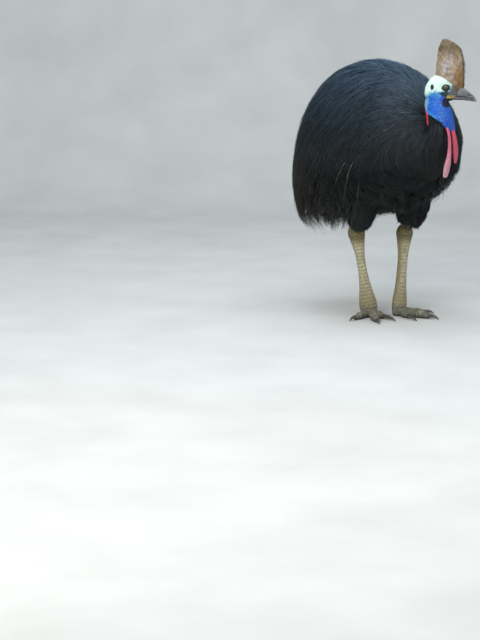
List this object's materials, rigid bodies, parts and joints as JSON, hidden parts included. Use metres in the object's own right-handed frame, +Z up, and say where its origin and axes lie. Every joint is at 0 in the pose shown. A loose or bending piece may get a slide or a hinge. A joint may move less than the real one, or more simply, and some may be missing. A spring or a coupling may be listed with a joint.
{
  "type": "cassowary",
  "caption": "Life-size standing southern cassowary with drooping black plumage, a tall horn casque, blue neck, red wattles and its head turned to its left.",
  "frame": {"origin": "on the floor under the middle of the bird's box, at the level of the soles of its feet", "axes": "+Z up; -Y is the way the body faces, with the chest in front and the rump behind; +X is the bird's left"},
  "size_m": [0.5626, 0.9469, 1.175],
  "materials": {
    "body_coat": "matte",
    "plumage": "matte",
    "neck_skin": "satin",
    "head_skin": "satin",
    "wattle": "satin",
    "casque_horn": "satin",
    "bill_horn": "satin",
    "eye": "gloss",
    "leg_scales": "satin",
    "claw_horn": "satin"
  },
  "bodies": {
    "root": {"torso": "body_coat", "rump": "plumage", "neck_feathered": "plumage", "thigh_right": "body_coat", "thigh_left": "body_coat", "neck": "neck_skin", "head": "head_skin", "wattle_right": "wattle", "wattle_left": "wattle", "casque": "casque_horn", "bill_upper": "bill_horn", "bill_lower": "bill_horn", "eye_right": "eye", "eye_left": "eye", "wing_right": "plumage", "wing_left": "plumage", "shank_right": "leg_scales", "toe_inner_right": "leg_scales", "claw_inner_right": "claw_horn", "toe_middle_right": "leg_scales", "claw_middle_right": "claw_horn", "toe_outer_right": "leg_scales", "claw_outer_right": "claw_horn", "shank_left": "leg_scales", "toe_inner_left": "leg_scales", "claw_inner_left": "claw_horn", "toe_middle_left": "leg_scales", "claw_middle_left": "claw_horn", "toe_outer_left": "leg_scales", "claw_outer_left": "claw_horn"}
  },
  "joints": []
}
